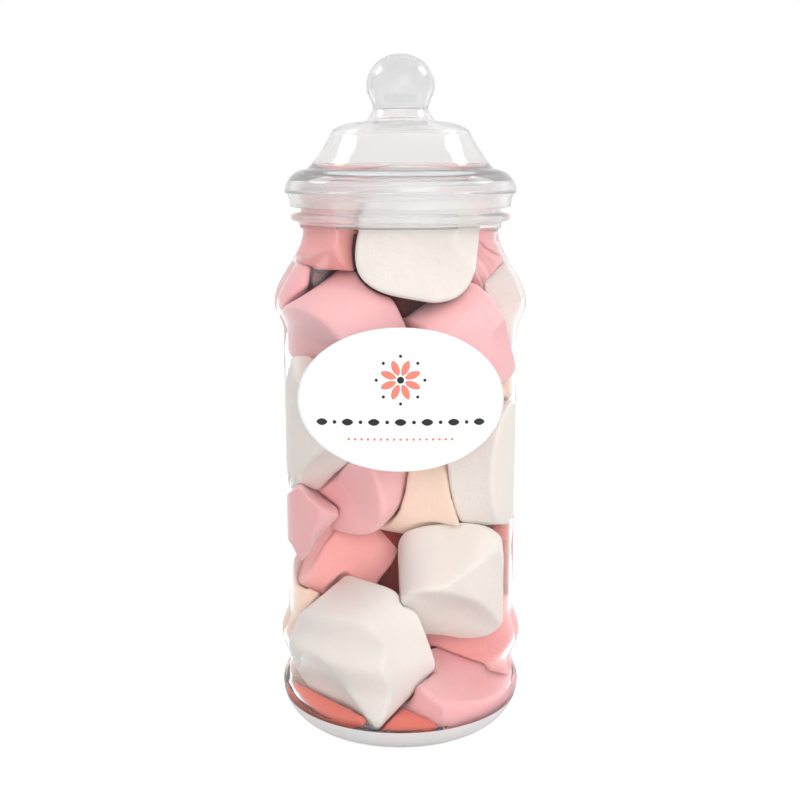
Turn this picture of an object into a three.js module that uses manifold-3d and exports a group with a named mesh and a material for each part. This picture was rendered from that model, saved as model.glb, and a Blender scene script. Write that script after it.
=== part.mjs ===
// A clear sweet jar with a domed knob lid, an oval sticker on its front, and the marshmallows
// that fill it. Millimetres, +Z up, the sticker faces -Y, the jar stands on z = 0.

import * as THREE from 'three';
import Module from 'manifold-3d';
import { mergeVertices } from 'three/addons/utils/BufferGeometryUtils.js';

const wasm = await Module();
wasm.setup();
const { Manifold, Mesh: SolidMesh } = wasm;

// ---- driving sizes --------------------------------------------------------------------------

const SIDES = 36; // flats round every turned piece
const GAP = 0.3; // air kept between separate pieces

// jar, outer radii at heights: moulded swellings with a straight label panel between them
const JAR_WALL = 1.2;
const FOOT = { r: 28.5, inner: 24.5, punt: 3.5 };
const HEEL = { r: 41.3, z: 12.5 };
const WAIST = { r: 38.8, z: 21.5 };
const RING = { r: 41.6, z: 31 };
const PANEL = { r: 39.2, from: 40, to: 135.6 };
const SHOULDER = { r: 42.1, z: 145 };
const NECK = { r: 33, root: 32.3, z: 169, bore: 31.6 };
const COLLAR = { r: 33.4, top: 171.4 };
const FLANGE = { r: 36.1, from: 171.9, to: 174.2 };
const MOUTH_Z = 185.2;
const BASE = { r: 27, z: 4.6, rise: 1.2, heel: { r: 39.4, z: 13.5 } }; // inside of the thick base
const THREAD = { crest: 34.2, half: 0.9, heights: [178, 181.8] };

// lid: a bulging rim over the thread, a sloping dome and a hollow knob
const LID_WALL = 1.3;
const LID_EDGE = { r: 36.3, z: 176.2 };
const LID_RIM = { r: 38.1, z: 180.8 };
const LID_STEP = { r: 30.6, z: 188.4 };
const DOME_FOOT = { r: 23.1, z: 199 };
const DOME_TOP = { r: 11.3, z: 203.6 };
const KNOB_NECK = { r: 8.9, z: 207.2 };
const KNOB = { r: 11.15, z: 214.7, top: 225 };
const SEAT_R = 29.6; // flat ring under the rim that sits over the mouth

// sticker: an oval, half sizes as seen from the front, laid round the panel; `droop` is how far
// it hangs for every millimetre that it lies behind its middle
const LABEL = { halfWidth: 33, halfHeight: 22.6, z: 118.7, droop: 0.18, thick: 0.35, rings: 5, around: 32 };

// marshmallows
const MALLOW = { rim: 2.6, sides: 12, dish: 0.8 };
const CORE = { r: 16, from: 9, to: 166 };
const HEAP_TOP = 185;

// ---- curves ---------------------------------------------------------------------------------

// A soft S from one [radius, height] to another, level with the axis at both ends.
function swell(a, b, steps) {
  const points = [];
  for (let i = 1; i <= steps; i += 1) {
    const t = i / steps;
    points.push([a.r + (b.r - a.r) * (1 - Math.cos(Math.PI * t)) / 2, a.z + (b.z - a.z) * t]);
  }
  return points;
}

// A quarter of an ellipse from a to b; `outFirst` leaves a sideways, otherwise upward.
function quarter(a, b, steps, outFirst) {
  const points = [];
  for (let i = 1; i <= steps; i += 1) {
    const t = (Math.PI / 2) * (i / steps);
    const across = outFirst ? Math.sin(t) : 1 - Math.cos(t);
    const along = outFirst ? 1 - Math.cos(t) : Math.sin(t);
    points.push([a.r + (b.r - a.r) * across, a.z + (b.z - a.z) * along]);
  }
  return points;
}

// The wall's other face: every point moved `by` across the curve, to its left going along.
function offset(points, by) {
  return points.map((point, i) => {
    const before = points[Math.max(i - 1, 0)];
    const after = points[Math.min(i + 1, points.length - 1)];
    const dr = after[0] - before[0];
    const dz = after[1] - before[1];
    const length = Math.hypot(dr, dz);
    return [Math.max(point[0] - (dz / length) * by, 0), point[1] + (dr / length) * by];
  });
}

// The outside of the jar from its foot to the root of its neck; each swelling takes `steps`.
function jarSide(steps) {
  const panelFoot = { r: PANEL.r, z: PANEL.from };
  const panelTop = { r: PANEL.r, z: PANEL.to };
  return [
    [FOOT.r, 0],
    ...quarter({ r: FOOT.r, z: 0 }, HEEL, steps + 1, true),
    ...swell(HEEL, WAIST, steps),
    ...swell(WAIST, RING, steps),
    ...swell(RING, panelFoot, steps),
    [panelTop.r, panelTop.z],
    ...swell(panelTop, SHOULDER, steps),
    ...swell(SHOULDER, { r: NECK.root, z: NECK.z }, steps * 2),
  ];
}

// ---- turned and joined bodies ---------------------------------------------------------------

function turned(profile, sides = SIDES) {
  const points = profile.map(([r, z]) => new THREE.Vector2(r, z));
  const geometry = new THREE.LatheGeometry(points, sides);
  geometry.rotateX(Math.PI / 2);
  return geometry;
}

function toSolid(geometry) {
  const bare = new THREE.BufferGeometry();
  bare.setAttribute('position', geometry.getAttribute('position').clone());
  bare.setIndex(geometry.getIndex());
  const merged = mergeVertices(bare, 1e-4);
  const index = merged.getIndex().array;
  const position = merged.getAttribute('position').array;
  const kept = [];
  for (let i = 0; i < index.length; i += 3) {
    const [a, b, c] = [index[i], index[i + 1], index[i + 2]];
    if (a !== b && b !== c && c !== a) kept.push(a, b, c);
  }
  const solid = new Manifold(new SolidMesh({
    numProp: 3,
    vertProperties: new Float32Array(position),
    triVerts: new Uint32Array(kept),
  }));
  return solid;
}

function toGeometry(solid) {
  const mesh = solid.getMesh();
  const geometry = new THREE.BufferGeometry();
  geometry.setAttribute('position', new THREE.BufferAttribute(new Float32Array(mesh.vertProperties), 3));
  geometry.setIndex(new THREE.BufferAttribute(new Uint32Array(mesh.triVerts), 1));
  geometry.computeVertexNormals();
  return geometry;
}

// ---- jar ------------------------------------------------------------------------------------

const outside = jarSide(3);
const inside = jarInside(2);

// The inside of the jar, from the edge of its base up to below the neck.
function jarInside(steps) {
  const wall = offset(jarSide(steps), JAR_WALL);
  return [
    [BASE.r, BASE.z],
    ...quarter(BASE, BASE.heel, steps + 1, true),
    ...swell(BASE.heel, { r: WAIST.r - JAR_WALL, z: WAIST.z }, steps),
    ...wall.filter(([, z]) => z > WAIST.z + 1 && z < NECK.z - 3),
  ];
}

function jarProfile() {
  const threads = THREAD.heights.flatMap((z) => [
    [NECK.r, z - THREAD.half],
    [THREAD.crest, z - THREAD.half / 3],
    [THREAD.crest, z + THREAD.half / 3],
    [NECK.r, z + THREAD.half],
  ]);
  return [
    [0, FOOT.punt],
    [FOOT.inner * 0.6, FOOT.punt * 0.75],
    [FOOT.inner, 0],
    ...outside,
    [COLLAR.r, NECK.z + 0.5],
    [COLLAR.r, COLLAR.top],
    [FLANGE.r - 0.6, FLANGE.from],
    [FLANGE.r, FLANGE.from + 0.7],
    [FLANGE.r, FLANGE.to - 0.7],
    [FLANGE.r - 0.6, FLANGE.to],
    [NECK.r, FLANGE.to + 0.2],
    ...threads,
    [NECK.r, MOUTH_Z - 0.4],
    [NECK.r - 0.4, MOUTH_Z],
    [NECK.bore + 0.3, MOUTH_Z],
    [NECK.bore, MOUTH_Z - 0.4],
    [NECK.bore, NECK.z + 1],
    ...[...inside].reverse(),
    [0, BASE.z + BASE.rise],
  ];
}

// ---- lid ------------------------------------------------------------------------------------

function lidProfile() {
  const rim = [
    [LID_EDGE.r, LID_EDGE.z],
    ...quarter(LID_EDGE, LID_RIM, 3, false),
    ...quarter(LID_RIM, LID_STEP, 5, false),
  ];
  const dome = [
    [LID_STEP.r - 2.6, LID_STEP.z + 3.2],
    [LID_STEP.r - 5.4, LID_STEP.z + 7.2],
    [DOME_FOOT.r, DOME_FOOT.z],
    ...quarter(DOME_FOOT, DOME_TOP, 4, false),
  ];
  const knob = [
    [KNOB_NECK.r, KNOB_NECK.z],
    ...swell(KNOB_NECK, KNOB, 4),
    ...quarter(KNOB, { r: 0, z: KNOB.top }, 5, false),
  ];
  const hollow = offset([...dome, ...knob].filter((point, i) => i % 2 === 1), LID_WALL);
  hollow[hollow.length - 1][0] = 0;
  const skirt = offset(rim, LID_WALL).filter(([, z]) => z < MOUTH_Z - 0.6);
  skirt[0] = [LID_EDGE.r - LID_WALL, LID_EDGE.z];
  const seat = MOUTH_Z + GAP;
  return [
    ...rim,
    ...dome,
    ...knob,
    ...hollow.reverse(),
    [SEAT_R - 0.8, seat + 1.2],
    [SEAT_R, seat],
    [NECK.r + 0.6, seat],
    ...skirt.reverse(),
    [LID_EDGE.r, LID_EDGE.z],
  ];
}

// ---- sticker --------------------------------------------------------------------------------

function sideRadius(z) {
  const next = outside.findIndex((point) => point[1] > z);
  const [r0, z0] = outside[next - 1];
  const [r1, z1] = outside[next];
  return r0 + ((r1 - r0) * (z - z0)) / (z1 - z0);
}

function labelGeometry() {
  const { halfWidth, halfHeight, rings, around, thick } = LABEL;
  const positions = [];
  const index = [];
  const place = (turn, up, lift) => {
    const z = LABEL.z + up - LABEL.droop * PANEL.r * (1 - Math.cos(turn));
    const r = sideRadius(z) + lift;
    positions.push(r * Math.sin(turn), -r * Math.cos(turn), z);
  };
  for (const lift of [GAP + 0.05, GAP + 0.05 + thick]) {
    place(0, 0, lift);
    for (let k = 1; k <= rings; k += 1) {
      for (let i = 0; i < around; i += 1) {
        const t = (2 * Math.PI * i) / around;
        const turn = Math.asin((halfWidth * Math.cos(t)) / PANEL.r);
        place((turn * k) / rings, (halfHeight * Math.sin(t) * k) / rings, lift);
      }
    }
  }
  const face = 1 + rings * around;
  const at = (side, k, i) => side * face + (k === 0 ? 0 : 1 + (k - 1) * around + (i % around));
  for (let i = 0; i < around; i += 1) {
    index.push(at(1, 0, 0), at(1, 1, i), at(1, 1, i + 1));
    index.push(at(0, 0, 0), at(0, 1, i + 1), at(0, 1, i));
    for (let k = 1; k < rings; k += 1) {
      index.push(at(1, k, i), at(1, k + 1, i), at(1, k + 1, i + 1));
      index.push(at(1, k, i), at(1, k + 1, i + 1), at(1, k, i + 1));
      index.push(at(0, k, i), at(0, k + 1, i + 1), at(0, k + 1, i));
      index.push(at(0, k, i), at(0, k, i + 1), at(0, k + 1, i + 1));
    }
    index.push(at(1, rings, i), at(0, rings, i), at(0, rings, i + 1));
    index.push(at(1, rings, i), at(0, rings, i + 1), at(1, rings, i + 1));
  }
  const geometry = new THREE.BufferGeometry();
  geometry.setAttribute('position', new THREE.Float32BufferAttribute(positions, 3));
  geometry.setIndex(index);
  geometry.computeVertexNormals();
  return geometry;
}

// ---- marshmallows ---------------------------------------------------------------------------

// Where each one lies: centre x, y, z; the way its flat end points, as a turn about Z and a lift
// above level, and a roll about that way, in degrees; then its length, width and height across,
// and how square its section is, from 2 for an oval to 3 for a soft box.
const FRONT = [
  [5, -15, 165, -89, 3, -10, 26, 40, 37, 3.0],
  [17, -15, 52, -89, -43, 0, 26, 37, 38, 3.2],
  [-33, -14, 73, 7, 53, 0, 22, 32, 18, 2.3],
  [-14, -20, 29, -137, -26, 0, 31, 42, 43, 2.9],
  [32, -7, 91, -15, 8, 0, 26, 36, 43, 2.8],
  [-33, -13, 105, -72, -47, 0, 34, 32, 38, 2.5],
  [-18, -12, 135, -141, -26, 0, 26, 39, 39, 2.3],
  [-13, -6, 88, -123, -16, 0, 29, 37, 37, 2.3],
  [20, -12, 132, -154, -31, 0, 25, 36, 36, 2.5],
  [21, -16, 6, -28, 74, 0, 26, 44, 42, 2.6],
  [-18, 2, 55, -172, 32, 0, 25, 22, 34, 2.8],
  [-24, -3, 172, -35, -1, 0, 34, 36, 35, 2.3],
  [-36, 2, 151, -4, -14, 0, 14, 30, 32, 2.3],
  [12, -4, 81, -14, -7, 0, 40, 35, 35, 2.3],
  [39, 4, 146, -16, 21, 0, 14, 32, 34, 2.3],
  [20, 1, 168, -67, -12, 0, 28, 36, 36, 2.3],
  [28, 3, 28, -21, -14, 0, 34, 24, 38, 2.5],
  [-35, 5, 36, -21, -21, 0, 22, 32, 34, 2.3],
  [31, 8, 56, -14, 3, 0, 30, 36, 36, 2.3],
  [34, 8, 113, -5, 0, 0, 28, 32, 32, 2.3],
  [-23, -21, 7, -44, 0, 0, 38, 16, 13, 2.3],
  [-3, -29, 7, 0, 0, 0, 34, 18, 10, 2.3],
  [-27, 4, 153, 200, 20, 0, 20, 20, 20, 2.3],
  [27, 4, 148, 340, 10, 0, 22, 22, 22, 2.3],
  [2, -4, 112, 10, 20, 0, 34, 38, 38, 2.3],
  [-31, 8, 12, 60, 10, 0, 24, 26, 20, 2.3],
];

// The unseen ones behind: two to a layer, turned a little further round each time.
const BACK = { layers: 6, first: 16, step: 29, reach: 23, length: 32, across: 37, square: 2.3 };

function allPlaces() {
  const places = [...FRONT];
  for (let k = 0; k < BACK.layers; k += 1) {
    for (const side of [-1, 1]) {
      const turn = 90 + side * 38 + (k % 2 ? 12 : -8);
      const angle = THREE.MathUtils.degToRad(turn);
      const z = BACK.first + BACK.step * k + side * 4;
      places.push([
        BACK.reach * Math.cos(angle), BACK.reach * Math.sin(angle), z,
        turn + 40 * side + 25 * k, 35 - 23 * ((k * 2 + side) % 3), 0,
        BACK.length, BACK.across, BACK.across, BACK.square,
      ]);
    }
  }
  return places;
}

// A short cylinder with rounded rims, a section between an oval and a box, and slightly sunken ends.
function marshmallow([x, y, z, turn, lift, roll, length, width, height, square]) {
  const { rim, sides, dish } = MALLOW;
  const a = (width + height) / 4;
  const b = length / 2;
  const profile = [[0, b - dish], [a - rim, b], [a, b - rim], [a, rim - b], [a - rim, -b], [0, dish - b]];
  const geometry = turned(profile.reverse(), sides);
  const points = geometry.getAttribute('position');
  for (let i = 0; i < points.count; i += 1) {
    const angle = Math.atan2(points.getY(i), points.getX(i));
    const c = (Math.abs(Math.cos(angle)) * a * 2) / width;
    const s = (Math.abs(Math.sin(angle)) * a * 2) / height;
    const grow = (c ** square + s ** square) ** (-1 / square);
    points.setXY(i, points.getX(i) * grow, points.getY(i) * grow);
  }
  const t = THREE.MathUtils.degToRad(turn);
  const e = THREE.MathUtils.degToRad(lift);
  const axis = new THREE.Vector3(Math.cos(t) * Math.cos(e), Math.sin(t) * Math.cos(e), Math.sin(e));
  const wide = new THREE.Vector3(Math.sin(t), -Math.cos(t), 0);
  wide.applyAxisAngle(axis, THREE.MathUtils.degToRad(roll));
  const high = new THREE.Vector3().crossVectors(axis, wide);
  const matrix = new THREE.Matrix4().makeBasis(wide, high, axis);
  matrix.setPosition(x, y, z);
  geometry.applyMatrix4(matrix);
  return toSolid(geometry);
}

function heapGeometry() {
  const room = [
    [0, BASE.z + BASE.rise + GAP],
    ...offset(inside, GAP),
    [NECK.bore - GAP, NECK.z + 1],
    [NECK.bore - GAP, MOUTH_Z - 2],
    [SEAT_R - 1.2, MOUTH_Z],
    [SEAT_R - 2.3, HEAP_TOP],
    [0, HEAP_TOP],
  ];
  let heap = toSolid(turned([[0, CORE.from], [CORE.r, CORE.from], [CORE.r, CORE.to], [0, CORE.to]], 16));
  for (const place of allPlaces()) heap = heap.add(marshmallow(place));
  heap = heap.intersect(toSolid(turned(room, SIDES / 2)));
  const bodies = heap.decompose().sort((p, q) => q.volume() - p.volume());
  return toGeometry(bodies[0]);
}

// ---- the part -------------------------------------------------------------------------------

const part = new THREE.Group();
part.name = 'marshmallow_jar';

function addNode(name, geometry, color, roughness) {
  const material = new THREE.MeshStandardMaterial({ color, roughness, metalness: 0 });
  const mesh = new THREE.Mesh(geometry, material);
  mesh.name = name;
  part.add(mesh);
}

addNode('jar', toGeometry(toSolid(turned(jarProfile()))), 0xdfe1e1, 0.12);
addNode('lid', toGeometry(toSolid(turned(lidProfile()))), 0xe1e3e3, 0.15);
addNode('label', labelGeometry(), 0xfefefe, 0.45);
addNode('marshmallows', heapGeometry(), 0xf6c3bf, 0.85);

export default part;
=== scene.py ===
# %% [markdown]
# # A sweet jar full of marshmallows
#
# The object is a clear plastic jar with moulded rings, a domed lid with a round knob, a white oval
# sticker and the pink and white marshmallows inside; the pale orange ones are white ones with
# painted shade and painted pink bounce light. The imported CAD part is loaded first. It
# fixes every size and place. The jar, lid and sticker are then turned again with fine facets, and
# the CAD's single heap gives way to separate soft marshmallows.

import math

import bpy
import numpy as np
from mathutils import Matrix, Vector


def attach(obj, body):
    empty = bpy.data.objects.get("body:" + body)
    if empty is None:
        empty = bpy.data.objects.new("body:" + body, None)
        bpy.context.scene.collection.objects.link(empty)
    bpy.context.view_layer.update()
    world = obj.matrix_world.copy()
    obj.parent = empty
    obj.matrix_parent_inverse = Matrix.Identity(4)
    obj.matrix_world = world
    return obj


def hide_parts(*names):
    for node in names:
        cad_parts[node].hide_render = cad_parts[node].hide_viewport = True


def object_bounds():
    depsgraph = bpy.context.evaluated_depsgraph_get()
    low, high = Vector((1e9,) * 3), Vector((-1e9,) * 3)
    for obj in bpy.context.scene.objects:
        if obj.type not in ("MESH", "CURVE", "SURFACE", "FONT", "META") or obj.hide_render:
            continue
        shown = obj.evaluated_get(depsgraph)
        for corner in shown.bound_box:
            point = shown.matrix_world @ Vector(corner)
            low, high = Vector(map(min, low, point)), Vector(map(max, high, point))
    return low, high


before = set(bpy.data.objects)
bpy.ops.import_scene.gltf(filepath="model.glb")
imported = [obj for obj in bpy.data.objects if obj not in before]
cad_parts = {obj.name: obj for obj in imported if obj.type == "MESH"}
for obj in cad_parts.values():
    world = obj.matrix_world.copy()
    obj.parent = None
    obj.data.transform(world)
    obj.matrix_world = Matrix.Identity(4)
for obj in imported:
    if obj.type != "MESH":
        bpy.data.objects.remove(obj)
cad_low, cad_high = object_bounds()
MM = 0.001
print("CAD box", [round(v, 4) for v in (*cad_low, *cad_high)])

# %% [markdown]
# ## Sizes
#
# These are the solid part's own sizes in millimetres: radii, heights, thicknesses, and pairs of a
# radius and a height. A jar, a lid and a knob are all turned forms, so such pairs say everything
# about them. Sweet jars have a thick base and moulded rings that stiffen the thin wall and give
# the hand a hold. The plastic is cloudy below BASE_CLOUDY and above NECK_CLOUDY, which the
# materials need later.

# %% Named sizes of the jar and lid
JAR_WALL = 1.2
FOOT_R, FOOT_INNER, FOOT_PUNT = 28.5, 24.5, 3.5
HEEL = (41.3, 12.5)
WAIST = (38.8, 21.5)
RING = (41.6, 31.0)
PANEL_R, PANEL_FROM, PANEL_TO = 39.2, 40.0, 135.6
SHOULDER = (42.1, 145.0)
NECK_R, NECK_BORE = 33.0, 31.6
NECK_ROOT = (32.3, 169.0)
COLLAR_R, COLLAR_TOP, NECK_CLOUDY = 33.4, 171.4, 170.7
FLANGE_R, FLANGE_LOW, FLANGE_HIGH = 36.1, 171.8, 174.2
FLANGE_EDGE, FLANGE_SOFT = 0.7, 0.6
MOUTH_Z, MOUTH_SOFT = 185.2, 0.4
BASE_IN_R, BASE_Z, BASE_RISE, BASE_CLOUDY = 27.0, 4.6, 1.2, 9.5
HEEL_IN = (39.4, 13.5)
LID_WALL = 1.3
LID_EDGE = (36.3, 176.2)
LID_RIM = (38.1, 180.8)
LID_STEP = (30.6, 188.4)
DOME_FOOT = (23.1, 199.0)
DOME_TOP = (11.3, 203.6)
KNOB_NECK = (8.9, 207.2)
KNOB = (11.15, 214.7)
TOP_Z = 225.0
SEAT_R = 29.6
print("jar", 2 * SHOULDER[0], "mm across and", TOP_Z, "mm tall")

# %% [markdown]
# ## Curves
#
# A blown jar's swellings have no corners: each runs from one width to the next as a soft S that
# stands upright at both ends. A spline could be drawn by hand, but a half cosine wave has just that
# shape and needs only its two ends. The heel and the top of the knob are quarter ellipses. The
# inside is the same line moved sideways by the wall, except in the thick base, which has a curve
# of its own.


# %% Curve helpers
def swell(a, b, steps):
    """Points of a soft S from (radius, height) a to b, without a itself."""
    out = []
    for i in range(1, steps + 1):
        t = i / steps
        out.append((a[0] + (b[0] - a[0]) * (1 - math.cos(math.pi * t)) / 2, a[1] + (b[1] - a[1]) * t))
    return out


def quarter(a, b, steps, out_first=False):
    """Points of a quarter ellipse from a to b, leaving a sideways or upward."""
    out = []
    for i in range(1, steps + 1):
        t = math.pi / 2 * i / steps
        across = math.sin(t) if out_first else 1 - math.cos(t)
        along = 1 - math.cos(t) if out_first else math.sin(t)
        out.append((a[0] + (b[0] - a[0]) * across, a[1] + (b[1] - a[1]) * along))
    return out


def offset(points, by):
    """The same line moved sideways by a distance, inward for a line that climbs."""
    pts = np.array(points)
    along = np.gradient(pts, axis=0)
    along /= np.linalg.norm(along, axis=1)[:, None]
    moved = pts + by * np.stack([-along[:, 1], along[:, 0]], axis=1)
    moved[:, 0] = np.maximum(moved[:, 0], 0)
    return [tuple(p) for p in moved]


def jar_side(steps):
    """The outside of the jar from its foot to the root of its neck."""
    return [
        (FOOT_R, 0.0),
        *quarter((FOOT_R, 0.0), HEEL, steps + 4, out_first=True),
        *swell(HEEL, WAIST, steps),
        *swell(WAIST, RING, steps),
        *swell(RING, (PANEL_R, PANEL_FROM), steps),
        *[(PANEL_R, PANEL_FROM + (PANEL_TO - PANEL_FROM) * i / 6) for i in range(1, 7)],
        *swell((PANEL_R, PANEL_TO), SHOULDER, steps),
        *swell(SHOULDER, NECK_ROOT, steps * 2),
    ]


def jar_inside(steps):
    """The inside, from the edge of the thick base up to below the neck."""
    waist_in = (WAIST[0] - JAR_WALL, WAIST[1])
    base = [(BASE_IN_R, BASE_Z), *quarter((BASE_IN_R, BASE_Z), HEEL_IN, steps, out_first=True)]
    wall = [p for p in offset(jar_side(steps), JAR_WALL) if WAIST[1] + 1 < p[1] < NECK_ROOT[1] - 3]
    return [*base, *swell(HEEL_IN, waist_in, steps), *wall]


outside = jar_side(10)
inside = jar_inside(10)
side_r, side_z = np.array(outside).T
print("side points", len(outside), "inner points", len(inside))

# %% [markdown]
# ## Turning a profile into a mesh
#
# A lathe would do this with a Spin or Screw modifier. Plain mesh code is as short and lets the
# radius change with the angle too, which the thread on the neck needs. Cutting the corners of the
# profile first, twice, rounds every edge the way moulded plastic is round.


# %% Mesh helpers
def cut_corners(points, times=2):
    """Rounds an open line by cutting its corners, keeping both ends."""
    for _ in range(times):
        out = [points[0]]
        for p, q in zip(points[:-1], points[1:]):
            out.append(tuple(0.75 * a + 0.25 * b for a, b in zip(p, q)))
            out.append(tuple(0.25 * a + 0.75 * b for a, b in zip(p, q)))
        points = [*out, points[-1]]
    return points


def new_object(name, points, faces):
    """A smooth-shaded mesh object from points in millimetres."""
    mesh = bpy.data.meshes.new(name)
    mesh.from_pydata((np.asarray(points, float) * MM).tolist(), [], faces)
    mesh.validate()
    mesh.update()
    mesh.polygons.foreach_set("use_smooth", [True] * len(mesh.polygons))
    obj = bpy.data.objects.new(name, mesh)
    bpy.context.scene.collection.objects.link(obj)
    return obj


def turned(name, profile, around, widen=None):
    """Turns a profile that starts and ends on the axis; widen(radius, height, angle) may move it."""
    angles = 2 * math.pi * np.arange(around) / around
    rows = [np.array([[0.0, 0.0, profile[0][1]]])]
    for r, z in profile[1:-1]:
        radius = np.full(around, r) if widen is None else widen(r, z, angles)
        rows.append(np.stack([radius * np.cos(angles), radius * np.sin(angles), np.full(around, z)], 1))
    rows.append(np.array([[0.0, 0.0, profile[-1][1]]]))
    points = np.concatenate(rows)
    last = len(points) - 1
    step = np.arange(around)
    after = (step + 1) % around
    faces = [(0, int(1 + b), int(1 + a)) for a, b in zip(step, after)]
    for i in range(len(profile) - 3):
        low, high = 1 + i * around, 1 + (i + 1) * around
        faces += [(int(low + a), int(low + b), int(high + b), int(high + a)) for a, b in zip(step, after)]
    top = 1 + (len(profile) - 3) * around
    faces += [(last, int(top + a), int(top + b)) for a, b in zip(step, after)]
    return new_object(name, points, faces)


print("a cut square has", len(cut_corners([(0, 0), (1, 0), (1, 1), (0, 1)])), "points")

# %% [markdown]
# ## The jar
#
# Sweet jars are blown from clear plastic about a millimetre thick. The wall has two faces, so the
# profile goes up the outside and comes down the inside. The screw thread is a ridge that climbs one
# pitch a turn. It is part of the same surface: the neck's radius grows where the ridge passes.

# %% The jar's mesh
JAR_FACETS = 128
THREAD_START, THREAD_PITCH, THREAD_TURNS = 177.2, 3.8, 2
THREAD_RISE, THREAD_HALF, THREAD_FADE = 1.2, 0.95, 9


def threaded(r, z, angles):
    """Radius of the neck with the climbing ridge on it."""
    inner = r < NECK_R - 0.1
    if inner or z < THREAD_START - 1.5 or z > MOUTH_Z - 0.6:
        return np.full(len(angles), r)
    turn = angles / (2 * math.pi)
    ridge = np.zeros(len(angles))
    for k in range(THREAD_TURNS):
        away = (z - THREAD_START - THREAD_PITCH * (turn + k)) / THREAD_HALF
        fade = np.clip(np.minimum(turn + k, THREAD_TURNS - turn - k) * THREAD_FADE, 0, 1)
        ridge += np.exp(-(away**4)) * fade
    return r + THREAD_RISE * np.clip(ridge, 0, 1)


neck = [
    (COLLAR_R, NECK_ROOT[1] + 0.5),
    (COLLAR_R, NECK_CLOUDY),
    (COLLAR_R, COLLAR_TOP),
    (FLANGE_R - FLANGE_EDGE, FLANGE_LOW),
    (FLANGE_R, FLANGE_LOW + FLANGE_SOFT),
    (FLANGE_R, FLANGE_HIGH - FLANGE_SOFT),
    (FLANGE_R - FLANGE_EDGE, FLANGE_HIGH),
    (NECK_R, FLANGE_HIGH + 0.3),
    *[(NECK_R, z) for z in np.arange(FLANGE_HIGH + 1, MOUTH_Z - MOUTH_SOFT, 0.7)],
    (NECK_R, MOUTH_Z - MOUTH_SOFT),
    (NECK_R - MOUTH_SOFT, MOUTH_Z),
    (NECK_BORE + MOUTH_SOFT, MOUTH_Z),
    (NECK_BORE, MOUTH_Z - MOUTH_SOFT),
    (NECK_BORE, NECK_ROOT[1] + 1),
]
jar_profile = cut_corners([
    (0.0, FOOT_PUNT),
    (FOOT_INNER * 0.35, FOOT_PUNT * 0.95),
    (FOOT_INNER * 0.7, FOOT_PUNT * 0.6),
    (FOOT_INNER, 0.0),
    *outside,
    *neck,
    *inside[::-1],
    (BASE_IN_R * 0.5, BASE_Z + 0.8),
    (0.0, BASE_Z + BASE_RISE),
])
jar = turned("jar_clear", jar_profile, JAR_FACETS, threaded)
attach(jar, "root")
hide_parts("jar")
print("jar", len(jar.data.polygons), "faces")

# %% [markdown]
# ## The lid
#
# The lid is moulded from the same clear plastic, a little cloudy. Its rim bulges over the thread,
# a flat ring under the rim sits over the mouth, and the knob is hollow and open to the dome. One
# closed profile again gives both faces of the wall. The dome leaves the rim in a short hollow
# curve, given as steps inward and up, and then slopes to its round top.

# %% The lid's mesh
LID_FACETS = 144
DOME_FLARE = [(1.2, 1.3), (2.6, 3.2), (4.1, 5.2), (5.4, 7.2)]
dome_line = [
    *[(LID_STEP[0] - inward, LID_STEP[1] + up) for inward, up in DOME_FLARE],
    DOME_FOOT,
    *quarter(DOME_FOOT, DOME_TOP, 8),
    KNOB_NECK,
    *swell(KNOB_NECK, KNOB, 8),
    *quarter(KNOB, (0.0, TOP_Z), 12),
]
lid_rim = [LID_EDGE, *quarter(LID_EDGE, LID_RIM, 6), *quarter(LID_RIM, LID_STEP, 10)]
hollow = offset(dome_line, LID_WALL)
hollow[-1] = (0.0, TOP_Z - LID_WALL)
skirt = [p for p in offset(lid_rim, LID_WALL) if p[1] < MOUTH_Z - 0.6]
seat_z = MOUTH_Z + 0.3
lid_profile = [
    *hollow[::-1],
    (SEAT_R - 0.8, seat_z + 1.2),
    (SEAT_R, seat_z),
    (NECK_R + 0.6, seat_z),
    *skirt[::-1],
    (LID_EDGE[0] - LID_WALL, LID_EDGE[1]),
    *lid_rim,
    *dome_line,
]
lid = turned("lid_clear", cut_corners(lid_profile), LID_FACETS)
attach(lid, "root")
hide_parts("lid")
print("lid", len(lid.data.polygons), "faces")

# %% [markdown]
# ## The sticker
#
# An oval paper sticker is flat until it is stuck on; then it bends round the wall. Its ends hang
# a little, so that it looks like a true oval from slightly above. It is made as rings of points
# between the middle and the edge, front and back, each laid on the jar's own radius at its height.
# It casts no shadow, or its outline would fall dark on the marshmallows close behind it.

# %% The sticker's mesh
LABEL_HALF_W, LABEL_HALF_H, LABEL_Z = 33.0, 22.6, 118.7
LABEL_DROOP = 0.18
LABEL_BACK, LABEL_FRONT = 0.04, 0.3
LABEL_RINGS, LABEL_AROUND = 24, 144


def laid(across, up, lift):
    """Lays points, in mm across and up from the sticker's middle as seen, on the jar's front."""
    turn = np.arcsin(np.asarray(across, float) / PANEL_R)
    behind = PANEL_R * (1 - np.cos(turn))
    z = LABEL_Z + np.asarray(up, float) - LABEL_DROOP * behind
    r = np.interp(z, side_z, side_r) + lift
    return np.stack([r * np.sin(turn), -r * np.cos(turn), z], axis=-1)


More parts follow.
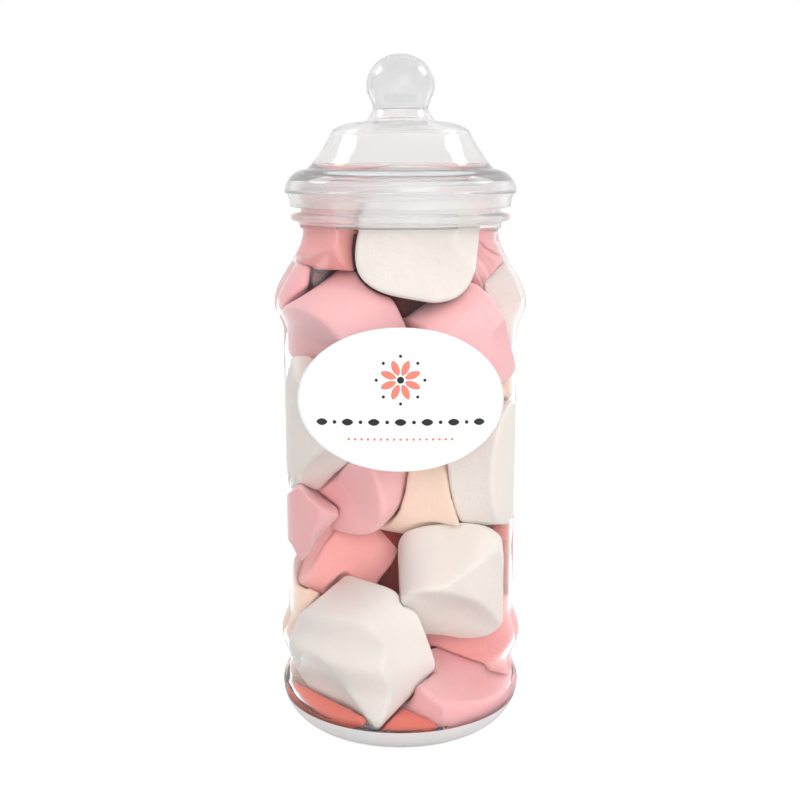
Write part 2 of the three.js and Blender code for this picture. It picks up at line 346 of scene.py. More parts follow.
def patch(name, outline, lift_low, lift_high, rings, around, centre=(0.0, 0.0)):
    """A thin closed plate laid on the jar; outline(angle) gives its reach from the centre."""
    angles = 2 * math.pi * np.arange(around) / around
    reach_x, reach_y = outline(angles)
    points = []
    for lift in (lift_low, lift_high):
        points.append(laid([centre[0]], [centre[1]], lift))
        for k in range(1, rings + 1):
            share = k / rings
            points.append(laid(centre[0] + reach_x * share, centre[1] + reach_y * share, lift))
    size = 1 + rings * around
    faces = []
    for i in range(around):
        j = (i + 1) % around
        faces.append((size, size + 1 + i, size + 1 + j))
        faces.append((0, 1 + j, 1 + i))
        for k in range(rings - 1):
            a, b = 1 + k * around, 1 + (k + 1) * around
            faces.append((size + a + i, size + b + i, size + b + j, size + a + j))
            faces.append((a + i, a + j, b + j, b + i))
        edge = 1 + (rings - 1) * around
        faces.append((size + edge + i, edge + i, edge + j, size + edge + j))
    return new_object(name, np.concatenate(points), faces)


def oval(half_w, half_h):
    """The outline of a plain oval, for patch."""
    return lambda t: (half_w * np.cos(t), half_h * np.sin(t))


sticker_edge = oval(LABEL_HALF_W, LABEL_HALF_H)
label = patch("sticker", sticker_edge, LABEL_BACK, LABEL_FRONT, LABEL_RINGS, LABEL_AROUND)
label.visible_shadow = False
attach(label, "root")
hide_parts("label")
print("sticker", len(label.data.polygons), "faces")

# %% [markdown]
# ## The print on the sticker
#
# The sticker carries a small plain ornament in two inks: a rosette, a band of lozenges and dots,
# and a row of fine dots. Ink is a film, so each shape is a thin plate that stands only 0.025 mm
# proud of the paper. As separate meshes their edges stay sharp at any distance.


# %% Ornament shapes
INK_LOW, INK_HIGH = LABEL_FRONT - 0.01, LABEL_FRONT + 0.025


def ink(outline, centre, rings=3, around=32):
    """One printed shape, with its foot sunk just into the paper."""
    return patch("ink", outline, INK_LOW, INK_HIGH, rings, around, centre)


def petal(length, width, turn):
    """A pointed oval that leans by turn."""
    def outline(t):
        x = length / 2 * np.cos(t)
        y = width / 2 * np.sin(t) * (0.55 + 0.45 * np.abs(np.sin(t)))
        return x * math.cos(turn) - y * math.sin(turn), x * math.sin(turn) + y * math.cos(turn)
    return outline


print("ink is", round(INK_HIGH - LABEL_FRONT, 3), "mm proud of the paper")

# %% [markdown]
# ## Setting out the ornament
#
# A loop sets out each part of the print round or along its own line, in millimetres from the
# sticker's middle. The shapes of one ink are joined into one object, as they share a material.


# %% The print
def join(objects, name):
    """Joins meshes into the first one."""
    bpy.ops.object.select_all(action="DESELECT")
    for obj in objects:
        obj.select_set(True)
    bpy.context.view_layer.objects.active = objects[0]
    bpy.ops.object.join()
    objects[0].name = name
    return objects[0]


ROSETTE_Z, PETALS, PETAL_OUT, DOT_OUT = 6.2, 8, 4.0, 7.4
BAND_Z, BAND_STEP, BAND_REACH = -7.0, 4.1, 6
ROW_Z, ROW_STEP, ROW_REACH = -12.4, 2.0, 8


def round_rosette(angle, out):
    """The point that lies this far out from the rosette's middle."""
    return (out * math.cos(angle), ROSETTE_Z + out * math.sin(angle))


black, salmon = [], []
for k in range(PETALS):
    lean = math.pi * (2 * k + 1) / PETALS
    salmon.append(ink(petal(5.0, 2.3, lean), round_rosette(lean, PETAL_OUT), 4))
    black.append(ink(oval(0.5, 0.5), round_rosette(lean + math.pi / PETALS, DOT_OUT)))
black.append(ink(oval(1.1, 1.1), (0.0, ROSETTE_Z)))
for k in range(-BAND_REACH, BAND_REACH + 1):
    shape = petal(3.6, 2.2, 0) if k % 2 == 0 else oval(0.6, 0.6)
    black.append(ink(shape, (BAND_STEP * k, BAND_Z)))
for k in range(-ROW_REACH, ROW_REACH + 1):
    salmon.append(ink(oval(0.42, 0.42), (ROW_STEP * k, ROW_Z), 2, 20))
black_ink = join(black, "sticker_print_black")
salmon_ink = join(salmon, "sticker_print_salmon")
for piece in (black_ink, salmon_ink):
    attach(piece, "root")
print("ornament", len(black_ink.data.polygons) + len(salmon_ink.data.polygons), "faces")

# %% [markdown]
# ## Where the marshmallows lie
#
# A physics simulation could pour them in, but it would not choose which ones lie in front. So
# the ones in front are placed one by one, the same short list as in the solid part, and two unseen
# ones go behind to each layer by a rule. Each line has the kind, the centre in millimetres, the way
# the flat end points (a turn about the vertical and a lift above level), a roll about that way,
# length, width and height, and how square the section is: 2 is an oval and 3 a soft box. The kinds
# are the colours. The red kind and the dark red kind are pink marshmallows deep in the gaps and on
# the floor, coloured with painted shade instead of their own pink. The pale orange kind is white
# marshmallows with painted shade and painted pink bounce light.

# %% Placements
FRONT = [
    ("white", 5, -15, 165, -89, 3, -10, 26, 40, 37, 3.0),
    ("white", 17, -15, 52, -89, -43, 0, 26, 37, 38, 3.2),
    ("pink", -33, -14, 73, 7, 53, 0, 22, 32, 18, 2.3),
    ("white", -14, -20, 29, -137, -26, 0, 31, 42, 43, 2.9),
    ("white", 32, -7, 91, -15, 8, 0, 26, 36, 43, 2.8),
    ("white", -33, -13, 105, -72, -47, 0, 34, 32, 38, 2.5),
    ("pink", -18, -12, 135, -141, -26, 0, 26, 39, 39, 2.3),
    ("pink", -13, -6, 88, -123, -16, 0, 29, 37, 37, 2.3),
    ("pink", 20, -12, 132, -154, -31, 0, 25, 36, 36, 2.5),
    ("pink", 21, -16, 6, -28, 74, 0, 26, 44, 42, 2.6),
    ("rose", -18, 2, 55, -172, 32, 0, 25, 22, 34, 2.8),
    ("rose", -24, -3, 172, -35, -1, 0, 34, 36, 35, 2.3),
    ("pink", -36, 2, 151, -4, -14, 0, 14, 30, 32, 2.3),
    ("peach", 12, -4, 81, -14, -7, 0, 40, 35, 35, 2.3),
    ("white", 39, 4, 146, -16, 21, 0, 14, 32, 34, 2.3),
    ("pink", 20, 1, 168, -67, -12, 0, 28, 36, 36, 2.3),
    ("rose", 28, 3, 28, -21, -14, 0, 34, 24, 38, 2.5),
    ("peach", -35, 5, 36, -21, -21, 0, 22, 32, 34, 2.3),
    ("rose_painted_shade", 31, 8, 56, -14, 3, 0, 30, 36, 36, 2.3),
    ("peach", 34, 8, 113, -5, 0, 0, 28, 32, 32, 2.3),
    ("rose_painted_shade", -23, -21, 7, -44, 0, 0, 38, 16, 13, 2.3),
    ("rose_painted_shade", -3, -29, 7, 0, 0, 0, 34, 18, 10, 2.3),
    ("shaded", -27, 4, 153, 200, 20, 0, 20, 20, 20, 2.3),
    ("shaded", 27, 4, 148, 340, 10, 0, 22, 22, 22, 2.3),
    ("white", 2, -4, 112, 10, 20, 0, 34, 38, 38, 2.3),
    ("peach", -31, 8, 12, 60, 10, 0, 24, 26, 20, 2.3),
]
BACK_LAYERS, BACK_FIRST, BACK_STEP, BACK_REACH = 6, 16, 29, 23
BACK_SIZE = (32, 37, 37, 2.3)
BACK_KINDS = ["white", "pink", "rose", "white", "pink", "peach", "rose", "pink"]


def all_places():
    """The placed ones, then the unseen ones behind, two to a layer."""
    places = list(FRONT)
    for k in range(BACK_LAYERS):
        for side in (-1, 1):
            turn = 90 + side * 38 + (12 if k % 2 else -8)
            x = BACK_REACH * math.cos(math.radians(turn))
            y = BACK_REACH * math.sin(math.radians(turn))
            z = BACK_FIRST + BACK_STEP * k + side * 4
            lift = 35 - 23 * int(math.fmod(k * 2 + side, 3))
            kind = BACK_KINDS[(2 * k + (side + 1) // 2) % len(BACK_KINDS)]
            places.append((kind, x, y, z, turn + 40 * side + 25 * k, lift, 0, *BACK_SIZE))
    return places


places = all_places()
print(len(places), "marshmallows")

# %% [markdown]
# ## The form of one marshmallow
#
# Marshmallow is piped as a rope and cut, so each piece is a short cylinder with soft rims, a
# slightly squarish section and ends that sink a little. Every point of its skin can be seen from
# its centre, so the skin is a distance along each direction. That makes the next step easy: where
# a neighbour, the wall or the floor is in the way, the distance is simply cut short.

# %% Skin of a lone marshmallow
AROUND, END_ROWS, RIM_ROWS, SIDE_ROWS = 84, 11, 8, 15
RIM, DISH, SWAY = 1.7, 1.3, 0.35
OVALISH = 2.3


def section_growth(angles, half_w, half_h, square):
    """How far a section reaches at each angle, beside a circle."""
    mean = (half_w + half_h) / 2
    c = np.abs(np.cos(angles)) * mean / half_w
    s = np.abs(np.sin(angles)) * mean / half_h
    return (c**square + s**square) ** (-1 / square)


def side_profile(radius, half_length):
    """Rows of (radius, height) from the middle of one end to the middle of the other."""
    rows = []
    for i in range(END_ROWS):
        rows.append(((radius - RIM) * i / END_ROWS, half_length))
    for i in range(RIM_ROWS):
        t = math.pi / 2 * i / RIM_ROWS
        rows.append((radius - RIM + RIM * math.sin(t), half_length - RIM + RIM * math.cos(t)))
    for i in range(SIDE_ROWS):
        rows.append((radius, (half_length - RIM) * (1 - i / SIDE_ROWS)))
    return rows + [(radius, 0.0)] + [(r, -z) for r, z in rows[::-1]]


def lone_skin(half_w, half_h, half_length, square=OVALISH, seed=0):
    """Points of the undented skin about the centre; the ends are dished and a little wavy."""
    radius = (half_w + half_h) / 2
    angles = 2 * math.pi * np.arange(AROUND) / AROUND
    grow = section_growth(angles, half_w, half_h, square)
    rng = np.random.default_rng(seed)
    rows = [np.array([[0.0, 0.0, half_length - DISH]])]
    for r, z in side_profile(radius, half_length)[1:-1]:
        share = min(r / (radius - RIM), 1)
        sunk = DISH * (1 + math.cos(math.pi * share)) / 2 * math.copysign(1, z)
        wide = r * grow
        along = np.full(AROUND, z - sunk)
        rows.append(np.stack([wide * np.cos(angles), wide * np.sin(angles), along], 1))
    rows.append(np.array([[0.0, 0.0, DISH - half_length]]))
    points = np.concatenate(rows)
    turn = np.arctan2(points[:, 1], points[:, 0])
    out = np.hypot(points[:, 0], points[:, 1]) / radius
    for end in (-1, 1):
        lift = sum(SWAY * np.sin(waves * turn + rng.uniform(0, 2 * math.pi)) for waves in (3, 4))
        points[:, 2] += lift * out**2 * np.clip(end * points[:, 2] / half_length, 0, 1) ** 2
    return points


def skin_faces():
    """Faces of a skin, the same for every marshmallow."""
    count = 2 * (END_ROWS + RIM_ROWS + SIDE_ROWS) - 1
    faces = []
    for i in range(AROUND):
        j = (i + 1) % AROUND
        faces.append((0, 1 + i, 1 + j))
        for k in range(count - 1):
            a, b = 1 + k * AROUND, 1 + (k + 1) * AROUND
            faces.append((a + i, b + i, b + j, a + j))
        a = 1 + (count - 1) * AROUND
        faces.append((1 + count * AROUND, a + j, a + i))
    return faces


skin = lone_skin(20, 20, 16)
print("one marshmallow has", len(skin), "points")

# %% [markdown]
# ## Measuring in and out of a marshmallow
#
# To press two of them together we must know which one a point belongs to. The gauge answers for one
# piece: it is the point's distance from the centre beside the distance to the skin on the same line.
# A mesh could be searched for this, but the plain form has a formula, which is quicker and smooth.
# The axes and the random ripples that make every piece a little uneven are made here too.


# %% How far inside or outside a marshmallow a point is
def gauge(points, half, square=OVALISH):
    """1 on the skin, below 1 inside, above 1 outside, growing straight out from the centre."""
    half_w, half_h, half_length = half
    radius = (half_w + half_h) / 2
    u = np.abs(points[:, 0] / half_w) ** square + np.abs(points[:, 1] / half_h) ** square
    u = u ** (1 / square) * radius
    v = np.abs(points[:, 2])
    size = np.hypot(u, v) + 1e-9
    un, vn = u / size, v / size
    to_side = radius / np.maximum(un, 1e-9)
    to_end = half_length / np.maximum(vn, 1e-9)
    cu, cv = radius - RIM, half_length - RIM
    dot = un * cu + vn * cv
    to_rim = dot + np.sqrt(np.maximum(dot**2 - cu**2 - cv**2 + RIM**2, 0))
    reach = np.where(to_side * vn <= cv, to_side, np.where(to_end * un <= cu, to_end, to_rim))
    return size / reach


def axes_of(turn, lift, roll):
    """Directions of a piece's width, height and length, as columns."""
    t, e, q = math.radians(turn), math.radians(lift), math.radians(roll)
    axis = np.array([math.cos(t) * math.cos(e), math.sin(t) * math.cos(e), math.sin(e)])
    level = np.array([math.sin(t), -math.cos(t), 0.0])
    wide = math.cos(q) * level + math.sin(q) * np.cross(axis, level)
    return np.stack([wide, np.cross(axis, wide), axis], axis=1)


def ripples(directions, seed, count, low, high):
    """A smooth random swelling over all directions, between about -1 and 1."""
    rng = np.random.default_rng(seed)
    total = np.zeros(len(directions))
    for _ in range(count):
        wave = rng.normal(size=3)
        wave *= rng.uniform(low, high) / np.linalg.norm(wave)
        total += np.sin(directions @ wave + rng.uniform(0, 2 * math.pi))
    return total / math.sqrt(count)


print("gauge at a side point", gauge(np.array([[20.0, 0, 0]]), (20, 20, 16)))

# %% [markdown]
# ## Pressing them together
#
# Two soft things that meet share one face. Along every direction from a piece's centre we look for
# the first place that belongs as much to a neighbour, to the wall or to the floor, and stop the
# skin there. A smooth minimum keeps the edge of each contact face soft. The room in the jar comes
# first: its wall, its floor and the lid over it.

# %% The room in the jar
WALL_REACH, HEAP_TOP, LID_ROOM, LID_SLOPE = 0.08, 185.0, 3.0, 0.6
room_r, room_z = np.array(inside).T


def beyond_wall(points):
    """Above zero outside the room in the jar, where a pressed face reaches just into the wall."""
    rho = np.hypot(points[:, 0], points[:, 1])
    wall = np.interp(points[:, 2], room_z, room_r)
    wall = np.where(points[:, 2] > NECK_ROOT[1] - 3, np.minimum(wall, NECK_BORE), wall)
    under_lid = np.clip((points[:, 2] - MOUTH_Z + LID_ROOM) * LID_SLOPE, 0, None)
    floor = BASE_Z + BASE_RISE * np.clip(1 - rho / BASE_IN_R, 0, 1)
    sideways = rho - wall - WALL_REACH + under_lid
    below = floor - WALL_REACH - points[:, 2]
    return np.maximum(np.maximum(sideways, below), points[:, 2] - HEAP_TOP)


print("the jar's middle is inside:", beyond_wall(np.array([[0.0, 0.0, 90.0]]))[0] < 0)

# %% [markdown]
# ## One piece and its contacts
#
# Each piece looks along its own directions past its own skin, in small steps, for the first stop.
# Those at the front of the list are firmer, each by the same factor, so that they keep more of
# their form and press into the later ones.


# %% Contact
REACH_STEPS, REACH_FACTOR, NEAR = 64, 1.25, 50
FIRMER, TOUCH_GAP, TOUCH_SOFT, WALL_SOFT = 0.68, 0.05, 1.8, 0.7
SWELLING, UNEVENNESS = 0.02, 0.05


def first_stop(excess, reach):
    """The first distance along each direction where excess turns positive, or infinity."""
    at = np.zeros(len(reach))
    before = excess(at)
    found = np.full(len(reach), np.inf)
    for share in np.linspace(0, 1, REACH_STEPS)[1:]:
        now = excess(reach * share)
        hit = (now > 0) & (before <= 0) & ~np.isfinite(found)
        step = reach * share - at
        found[hit] = (at + step * before / (before - now - 1e-12))[hit]
        before, at = now, reach * share
    return found


def soft_min(a, b, width):
    """The smaller of two distances, rounded where they are within a width of each other."""
    b = np.where(np.isfinite(b), b, 1e6)
    near = np.clip(width - np.abs(a - b), 0, None) / width
    return np.minimum(a, b) - near**2 * width / 4


class Piece:
    """One marshmallow: its place, its lone skin and how firm it is."""

    def __init__(self, number, row):
        kind, x, y, z, turn, lift, roll, length, width, height, self.square = row
        self.kind, self.number = kind, number
        self.centre = np.array([x, y, z], float)
        self.axes = axes_of(turn, lift, roll)
        self.half = (width / 2, height / 2, length / 2)
        self.mean = (width + height + length) / 6
        local = lone_skin(*self.half, self.square, number)
        self.lone = np.linalg.norm(local, axis=1)
        self.local = local / self.lone[:, None]
        self.firm = FIRMER**number
        self.ways = self.local @ self.axes.T

    def skin(self, others):
        """Points of the skin where it lies, pressed by the wall and by all the others."""
        own = self.lone * (1 + SWELLING * ripples(self.local, 40 + self.number, 7, 1.2, 3.6))
        own = own + UNEVENNESS * ripples(self.local, 140 + self.number, 14, 10, 26)
        reach = own * REACH_FACTOR
        stop = first_stop(lambda t: beyond_wall(self.centre + self.ways * t[:, None]), reach)
        skin = soft_min(own, stop, WALL_SOFT)
        for other in others:
            if other is self or np.linalg.norm(other.centre - self.centre) > NEAR:
                continue

            def excess(t, other=other):
                where = self.centre + self.ways * t[:, None] - other.centre
                mine = (t / own - 1) * self.mean * self.firm
                away = gauge(where @ other.axes, other.half, other.square) - 1
                theirs = away * other.mean * other.firm
                return mine - theirs + TOUCH_GAP * (self.firm + other.firm) / 2

            skin = soft_min(skin, first_stop(excess, reach), TOUCH_SOFT)
        return self.centre + self.ways * skin[:, None]


pieces = [Piece(i, row) for i, row in enumerate(places)]
print("largest is", max(p.mean for p in pieces) * 2, "mm on average")

# %% [markdown]
# ## One object for each kind
#
# Marshmallows of one colour share a material, so they share an object as well. Each point carries a
# number called tint that is the same all over one marshmallow. The material turns it into a small
# difference in colour between neighbours, as from one batch to the next.

# %% Marshmallow meshes, one object for each kind
faces = skin_faces()
heap = {}
for kind in ("white", "pink", "rose", "rose_painted_shade", "peach", "shaded"):
    own = [p for p in pieces if p.kind == kind]
    points, all_faces, tints = [], [], []
    for p in own:
        base = sum(len(q) for q in points)
        points.append(p.skin(pieces))
        all_faces += [tuple(base + v for v in f) for f in faces]
        tints.append(np.full(len(points[-1]), math.modf(0.37 + p.number * 0.618)[0]))
    obj = new_object("marshmallow_" + kind, np.concatenate(points), all_faces)
    tint = obj.data.attributes.new("tint", "FLOAT", "POINT")
    tint.data.foreach_set("value", np.concatenate(tints))
    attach(obj, "root")
    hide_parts("marshmallows")
    heap[kind] = obj
    print(kind, len(own), "pieces,", len(obj.data.polygons), "faces")

# %% [markdown]
# ## The core
#
# Between the outer marshmallows one looks into the middle of the heap, where more of them lie in
# their own shade. A plain lumpy column stands there, so that no one looks right through the jar.
# Its dark red colour is painted shade for the marshmallows it stands for.

# %% The core's mesh
CORE_R, CORE_BACK, CORE_LOW, CORE_HIGH, CORE_FACETS = 12.0, 8.0, 7.0, 166.0, 48


def lumpy(r, z, angles):
    """The column's radius, which swells and shrinks by a tenth."""
    wave = np.sin(3 * angles + z / 9) + np.sin(2 * angles - z / 13)
    return r * (1 + 0.05 * wave)


core_profile = cut_corners([
    (0.0, CORE_LOW),
    (CORE_R, CORE_LOW),
    *[(CORE_R, z) for z in np.arange(CORE_LOW + 8, CORE_HIGH - 6, 8)],
    (CORE_R, CORE_HIGH),
    (0.0, CORE_HIGH),
])
core = turned("marshmallow_core", core_profile, CORE_FACETS, lumpy)
core.data.transform(Matrix.Translation((0, CORE_BACK * MM, 0)))
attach(core, "root")
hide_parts("marshmallows")
print("core", len(core.data.polygons), "faces")

# %% [markdown]
# ## Clear plastic
#
# The jar is thin and clear. Its edges look grey because light crosses more plastic there, so it
# takes a little colour in its volume. A shadow ray passes straight through, or the heap would
# stand in the dark. Moulded plastic is cloudier where it is thicker: the lid, the neck under it and
# most of all the outside of the base, so these zones scatter a share of the light.


# %% Clear plastic
def material(name):
    """A new material, its node tree and its Principled node."""
    made = bpy.data.materials.new(name)
    made.use_nodes = True
    tree = made.node_tree
    return made, tree, tree.nodes["Principled BSDF"]


def bump_from(tree, shader, scale, strength, distance, detail=3.0, under=None):
    """Adds fine unevenness from noise in the object's own space, over another bump if given."""
    place = tree.nodes.new("ShaderNodeTexCoord")
    noise = tree.nodes.new("ShaderNodeTexNoise")
    bump = tree.nodes.new("ShaderNodeBump")
    noise.inputs["Scale"].default_value = scale
    noise.inputs["Detail"].default_value = detail
    bump.inputs["Strength"].default_value = strength
    bump.inputs["Distance"].default_value = distance
    tree.links.new(place.outputs["Object"], noise.inputs["Vector"])
    tree.links.new(noise.outputs["Fac"], bump.inputs["Height"])
    if under is not None:
        tree.links.new(under.outputs["Normal"], bump.inputs["Normal"])
    tree.links.new(bump.outputs["Normal"], shader.inputs["Normal"])
    return bump


def clear_plastic(name, haze, roughness, grey, pale, bend=1.49):
    """Clear plastic that throws no dark shadow; haze scatters, grey and pale take light away."""
    made, tree, shader = material(name)
    shader.inputs["Base Color"].default_value = (pale, pale, pale, 1)
    shader.inputs["Roughness"].default_value = roughness
    shader.inputs["IOR"].default_value = bend
    shader.inputs["Transmission Weight"].default_value = 1 - haze
    bump_from(tree, shader, 90, 0.15, 0.0004, 1.0)
    path = tree.nodes.new("ShaderNodeLightPath")
    through = tree.nodes.new("ShaderNodeBsdfTransparent")
    mix = tree.nodes.new("ShaderNodeMixShader")
    tree.links.new(path.outputs["Is Shadow Ray"], mix.inputs["Fac"])
    tree.links.new(shader.outputs["BSDF"], mix.inputs[1])
    tree.links.new(through.outputs["BSDF"], mix.inputs[2])
    out = tree.nodes["Material Output"]
    tree.links.new(mix.outputs["Shader"], out.inputs["Surface"])
    volume = tree.nodes.new("ShaderNodeVolumeAbsorption")
    volume.inputs["Color"].default_value = (0.80, 0.81, 0.82, 1)
    volume.inputs["Density"].default_value = grey
    tree.links.new(volume.outputs["Volume"], out.inputs["Volume"])
    return made


clear = clear_plastic("clear plastic", haze=0.0, roughness=0.02, grey=40, pale=0.96, bend=1.2)
dull = clear_plastic("cloudy plastic", haze=0.3, roughness=0.1, grey=30, pale=0.93)
rim_plastic = clear_plastic("rim plastic", haze=0.13, roughness=0.1, grey=10, pale=0.955)
hazy = clear_plastic("hazy plastic", haze=0.1, roughness=0.06, grey=20, pale=0.94)
knob_plastic = clear_plastic("knob plastic", haze=0.16, roughness=0.1, grey=60, pale=0.88)
frosted = clear_plastic("frosted plastic", haze=0.65, roughness=0.3, grey=10, pale=0.93)
print("six kinds of plastic")

# %% [markdown]
# ## Which plastic goes where
#
# A real jar is all one plastic, but it looks clear, cloudy or frosted by its thickness and by how
# the mould left it. A mask texture could say where. Material slots are plainer: each face goes to
# a zone by its radius and height, so the zones meet on level lines round the jar.


# %% Painting the jar and the lid
def paint(obj, made, zones=()):
    """Gives a mesh its material; a zone is another one and a test of a face's radius and height."""
    obj.data.materials.clear()
    obj.data.materials.append(made)
    for number, (other, test) in enumerate(zones, start=1):
        obj.data.materials.append(other)
        for face in obj.data.polygons:
            x, y, z = face.center / MM
            if test(math.hypot(x, y), z):
                face.material_index = number


def outer_base(r, z):
    """True for the outside of the thick base, and not for the floor and wall that it has inside."""
    return z < BASE_CLOUDY and (z < BASE_Z or r > np.interp(z, side_z, side_r) - JAR_WALL / 2)


paint(jar, clear, [(dull, lambda r, z: z > NECK_CLOUDY), (frosted, outer_base)])
paint(lid, rim_plastic, [
    (hazy, lambda r, z: z > LID_STEP[1] - 0.5),
    (knob_plastic, lambda r, z: z > KNOB_NECK[1]),
])
print("jar has", len(jar.data.materials), "zones and the lid", len(lid.data.materials))

# %% [markdown]
# ## Paper and ink
#
# The sticker is white coated paper: nearly matte, with a grain too fine to see but enough to soften
# its gloss. The inks are a near black and a salmon, a little smoother than the paper.

# %% Paper and ink materials
paper, paper_tree, paper_shader = material("sticker paper")
paper_shader.inputs["Base Color"].default_value = (0.97, 0.968, 0.96, 1)
paper_shader.inputs["Roughness"].default_value = 0.55
bump_from(paper_tree, paper_shader, 900, 0.12, 0.0002)
paint(label, paper)
for obj, colour in ((black_ink, (0.012, 0.012, 0.014, 1)), (salmon_ink, (0.83, 0.23, 0.17, 1))):
    made, tree, shader = material(obj.name)
    shader.inputs["Base Color"].default_value = colour
    shader.inputs["Roughness"].default_value = 0.5
    bump_from(tree, shader, 900, 0.1, 0.0002)
    paint(obj, made)
print("paper and two inks")

# %% [markdown]
# ## The marshmallow material
#
# Marshmallow is foam: light goes in and comes out a little way off, which softens its shading and
# warms its shadows. Its skin is matte, with fine pores and a dusting of starch. The kinds differ in
# colour only, and each piece is a touch lighter or darker than the next.


# %% Marshmallow
def marshmallow(name, colour, deep):
    """Foam of one colour; deep is a deeper tone that noise and each piece's tint mix in at random."""
    made, tree, shader = material(name)
    place = tree.nodes.new("ShaderNodeTexCoord")
    cloud = tree.nodes.new("ShaderNodeTexNoise")
    cloud.inputs["Scale"].default_value = 34
    cloud.inputs["Detail"].default_value = 6
    tree.links.new(place.outputs["Object"], cloud.inputs["Vector"])
    tint = tree.nodes.new("ShaderNodeAttribute")
    tint.attribute_name = "tint"
    ramp = tree.nodes.new("ShaderNodeMapRange")
    ramp.inputs["From Min"].default_value = 0.35
    ramp.inputs["From Max"].default_value = 0.75
    tree.links.new(cloud.outputs["Fac"], ramp.inputs["Value"])
    weight = tree.nodes.new("ShaderNodeMath")
    weight.operation = "MULTIPLY_ADD"
    weight.inputs[1].default_value = 0.35
    tree.links.new(ramp.outputs["Result"], weight.inputs[0])
    share = tree.nodes.new("ShaderNodeMath")
    share.operation = "MULTIPLY"
    share.inputs[1].default_value = 0.35
    tree.links.new(tint.outputs["Fac"], share.inputs[0])
    tree.links.new(share.outputs["Value"], weight.inputs[2])
    mix = tree.nodes.new("ShaderNodeMix")
    mix.data_type = "RGBA"
    mix.inputs["A"].default_value = (*colour, 1)
    mix.inputs["B"].default_value = (*deep, 1)
    tree.links.new(weight.outputs["Value"], mix.inputs["Factor"])
    tree.links.new(mix.outputs["Result"], shader.inputs["Base Color"])
    shader.inputs["Roughness"].default_value = 0.78
    shader.inputs["Specular IOR Level"].default_value = 0.3
    shader.inputs["Subsurface Weight"].default_value = 0.35
    shader.inputs["Subsurface Radius"].default_value = (1.0, 0.55, 0.5)
    shader.inputs["Subsurface Scale"].default_value = 0.004
    shader.inputs["Sheen Weight"].default_value = 0.12
    creases = bump_from(tree, shader, 220, 0.4, 0.0008, 3.0)
    bump_from(tree, shader, 1500, 0.6, 0.0003, 4.0, creases)
    return made


COLOURS = {
    "white": ((0.835, 0.79, 0.745), (0.81, 0.72, 0.65)),
    "pink": ((0.91, 0.53, 0.545), (0.90, 0.42, 0.435)),
    "rose": ((0.98, 0.475, 0.46), (0.95, 0.37, 0.345)),
    # This red is pink marshmallow with painted deep shade in its colour.
    "rose_painted_shade": ((0.80, 0.22, 0.17), (0.70, 0.15, 0.11)),
    # This pale orange is white marshmallow with painted shade and painted pink bounce light.
    "peach": ((0.92, 0.72, 0.60), (0.89, 0.60, 0.47)),
    # This dark red is painted deep shade, for pieces in the darkest gaps and for the core.
    "shaded": ((0.34, 0.035, 0.025), (0.20, 0.016, 0.012)),
}
for kind, obj in heap.items():
    paint(obj, marshmallow("marshmallow " + kind, *COLOURS[kind]))
# The core's dark red colour is painted shade.
paint(core, marshmallow("marshmallow core", *COLOURS["shaded"]))
print("marshmallow colours", sorted(heap))

# %% [markdown]
# ## The floor
#
# The jar stands on a pale floor that runs to the horizon. Clear plastic shows whatever lies behind
# it, so the floor glows a little where it is seen, straight or through the plastic, and takes part
# in the lighting as plain paper does. The Light Path node tells the two apart.

# %% Floor
bpy.ops.mesh.primitive_plane_add(size=8, location=(0, 0, cad_low[2]))
floor = bpy.context.object
floor.name = "floor"
floor_material, floor_tree, floor_shader = material("floor")
floor_shader.inputs["Base Color"].default_value = (0.93, 0.93, 0.93, 1)
floor_shader.inputs["Roughness"].default_value = 0.6
floor_shader.inputs["Emission Color"].default_value = (1, 1, 1, 1)


def math_node(tree, operation, first, second):
    """A Math node on two sockets or numbers; returns its output."""
    node = tree.nodes.new("ShaderNodeMath")
    node.operation = operation
    for socket, value in zip(node.inputs, (first, second)):
        if isinstance(value, (int, float)):
            socket.default_value = value
        else:
            tree.links.new(value, socket)
    return node.outputs["Value"]


def in_view(tree):
    """1 for what the camera sees, straight or through clear plastic, and 0 for light that lights."""
    path = tree.nodes.new("ShaderNodeLightPath")
    unbounced = math_node(tree, "LESS_THAN", path.outputs["Diffuse Depth"], 0.5)
    through = math_node(tree, "MULTIPLY", path.outputs["Is Transmission Ray"], unbounced)
    return math_node(tree, "MAXIMUM", path.outputs["Is Camera Ray"], through)


FLOOR_GLOW = 0.55
floor_glow = math_node(floor_tree, "MULTIPLY", in_view(floor_tree), FLOOR_GLOW)
floor_tree.links.new(floor_glow, floor_shader.inputs["Emission Strength"])
paint(floor, floor_material)
print("floor glows", FLOOR_GLOW)

# %% [markdown]
# ## The surroundings
#
# White all round suits clear plastic, which takes the colour of whatever stands behind it. It is
# full white where it is seen and a little less as a source of light, so that the marshmallows keep
# some shade. The world mixes two backgrounds for that.

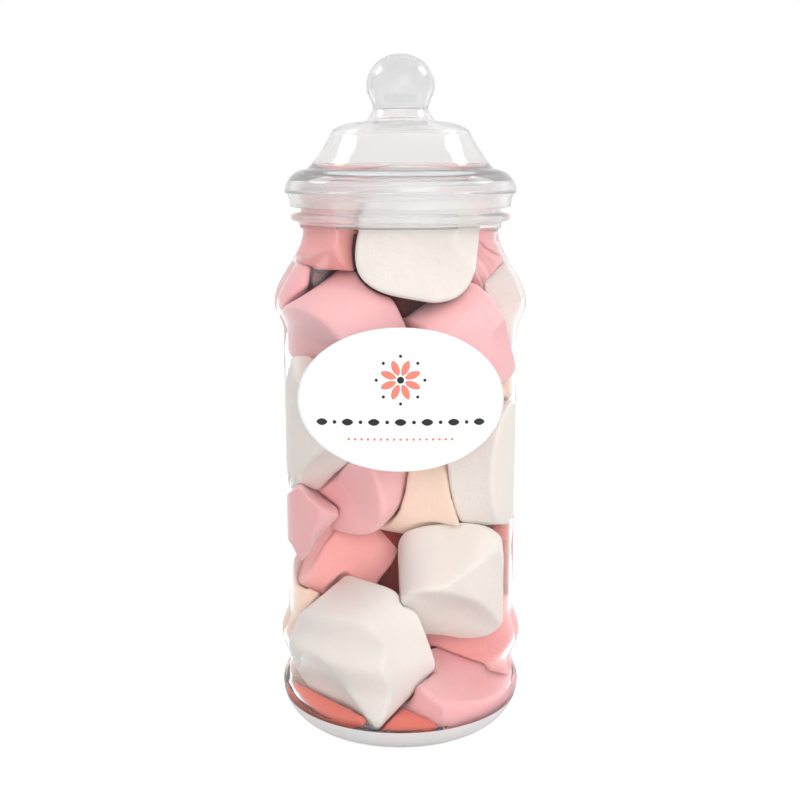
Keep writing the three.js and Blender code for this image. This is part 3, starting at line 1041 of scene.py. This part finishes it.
# %% White surroundings
SEEN_WHITE, LIT_WHITE = 1.0, 0.9
world = bpy.data.worlds.new("surroundings")
bpy.context.scene.world = world
world.use_nodes = True
sky_tree = world.node_tree
glow = sky_tree.nodes["Background"]
glow.inputs["Color"].default_value = (1, 1, 1, 1)
glow.inputs["Strength"].default_value = LIT_WHITE
backdrop = sky_tree.nodes.new("ShaderNodeBackground")
backdrop.inputs["Color"].default_value = (1, 1, 1, 1)
backdrop.inputs["Strength"].default_value = SEEN_WHITE
sky_mix = sky_tree.nodes.new("ShaderNodeMixShader")
sky_tree.links.new(in_view(sky_tree), sky_mix.inputs["Fac"])
sky_tree.links.new(glow.outputs["Background"], sky_mix.inputs[1])
sky_tree.links.new(backdrop.outputs["Background"], sky_mix.inputs[2])
sky_tree.links.new(sky_mix.outputs["Shader"], sky_tree.nodes["World Output"].inputs["Surface"])
print("seen", SEEN_WHITE, "lit", LIT_WHITE)

# %% [markdown]
# ## Lights
#
# A large soft light in front gives the marshmallows their shading; it is left out of reflections,
# or it would lie on the plastic as a white square. Two softboxes above and behind the sides give
# the lid and the shoulders their bright spots.


# %% Area lights
MIDDLE = Vector((0, 0, 0.11))


def area_light(name, place, size, power):
    """A square light that faces the middle of the jar; metres and watts."""
    lamp = bpy.data.lights.new(name, "AREA")
    lamp.size, lamp.energy = size, power
    obj = bpy.data.objects.new(name, lamp)
    obj.location = place
    aim = MIDDLE - Vector(place)
    obj.rotation_euler = aim.to_track_quat("-Z", "Y").to_euler()
    bpy.context.scene.collection.objects.link(obj)
    return obj


key = area_light("key", (0.35, -1.05, 0.55), 0.8, 4.4)
key.visible_glossy = False
for name, side in (("left softbox", -1), ("right softbox", 1)):
    area_light(name, (0.62 * side, 0.2, 0.72), 0.3, 0.9)
print("three lights")

# %% [markdown]
# ## The camera
#
# It stands close, 40 cm in front, and looks down by about eleven degrees, as one looks at a jar on
# a table. So near, the upper parts come out larger than the lower ones.

# %% Camera
CAMERA_PLACE, CAMERA_DOWN, LENS = (-0.00017, -0.401, 0.1877), 10.8, 54
camera = bpy.data.objects.new("camera", bpy.data.cameras.new("camera"))
camera.data.lens, camera.data.sensor_width, camera.data.clip_start = LENS, 36, 0.01
camera.location = CAMERA_PLACE
camera.rotation_euler = (math.radians(90 - CAMERA_DOWN), 0, 0)
bpy.context.scene.collection.objects.link(camera)
bpy.context.scene.camera = camera
bpy.context.scene.view_settings.view_transform = "Standard"
print("camera", [round(v, 3) for v in camera.location])
